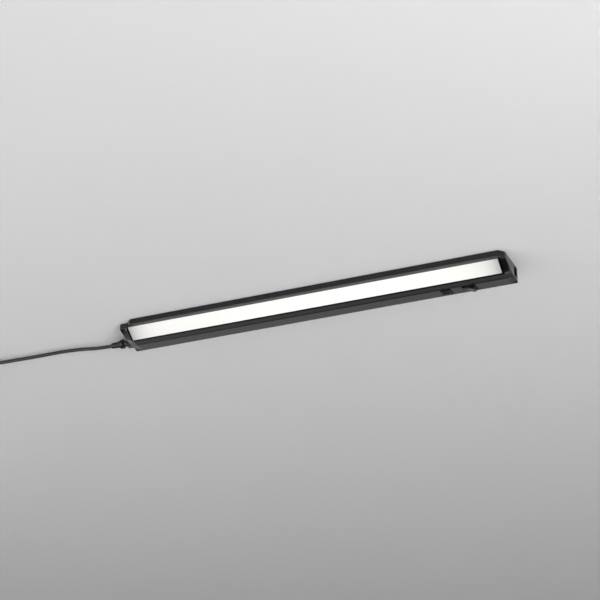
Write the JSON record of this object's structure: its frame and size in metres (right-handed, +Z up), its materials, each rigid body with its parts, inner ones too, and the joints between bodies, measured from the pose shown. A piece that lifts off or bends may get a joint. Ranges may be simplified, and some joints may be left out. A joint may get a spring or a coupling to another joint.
{
  "type": "led strip batten",
  "caption": "Slim black under-cabinet light batten with a sloped light strip, rocker switch, slide selector, linking outlet and mains lead.",
  "frame": {"origin": "centre of the mounting plane, midway between the two clip screws and midway across the batten's depth", "axes": "+X along the batten towards the linking outlet, +Y from the light face to the back, +Z up into the cabinet"},
  "size_m": [0.9633, 0.0946, 0.0264],
  "materials": {
    "body": "satin, finely textured",
    "caps": "satin, moulded",
    "diffuser": "opal, lit",
    "tray": "black anodised",
    "white_board": "white solder mask",
    "led": "phosphor in a white frame",
    "green_board": "green solder mask",
    "terminal": "moulded",
    "lead_insulation": "smooth insulation",
    "ceramic": "glazed ceramic with nickel ends",
    "film_capacitor": "potted box",
    "ferrite": "sintered ferrite",
    "winding": "taped winding",
    "capacitor_sleeve": "shrink sleeve",
    "steel": "zinc plated",
    "brass": "plain",
    "switch": "satin, moulded",
    "knob": "satin, moulded",
    "cord_black": "soft PVC",
    "strap": "moulded nylon"
  },
  "bodies": {
    "lamp": {"choke": "ferrite", "connector_contacts": "brass", "cord_hank": "cord_black", "cord_tail": "cord_black", "diffuser": "diffuser", "driver_board": "green_board", "electrolytic_capacitors": "capacitor_sleeve", "end_cap_screws": "steel", "film_capacitor": "film_capacitor", "fuse": "ceramic", "hank_base": "strap", "hank_strap": "strap", "housing": "body", "inlet_pins": "brass", "inlet_socket": "caps", "input_terminal": "terminal", "lead_connector": "cord_black", "led_board": "white_board", "led_leads": "lead_insulation", "leds": "led", "left_end_cap": "caps", "light_tray": "tray", "mains_cord": "cord_black", "mains_plug": "cord_black", "mounting_clips": "steel", "outlet_contacts": "brass", "outlet_socket": "caps", "output_terminal": "terminal", "plug_pins": "brass", "plug_strain_relief": "cord_black", "right_end_cap": "caps", "rocker_body": "switch", "rocker_terminals": "brass", "selector_base_plate": "switch", "selector_body": "switch", "selector_terminals": "brass", "strain_relief": "cord_black", "through_wires": "lead_insulation", "transformer_core": "ferrite", "transformer_winding": "winding"},
    "rocker": {"rocker_paddle": "switch"},
    "selector": {"selector_slider": "knob"}
  },
  "joints": [
    {"name": "rocker_press", "type": "hinge", "parent": "lamp", "child": "rocker", "pos_m": [0.2212, 0.0213, -0.022], "axis": [0, 1, 0], "range_deg": [-22, 0]},
    {"name": "selector_slide", "type": "slide", "parent": "lamp", "child": "selector", "axis": [0, -1, 0], "range_m": [0, 0.0044]}
  ]
}
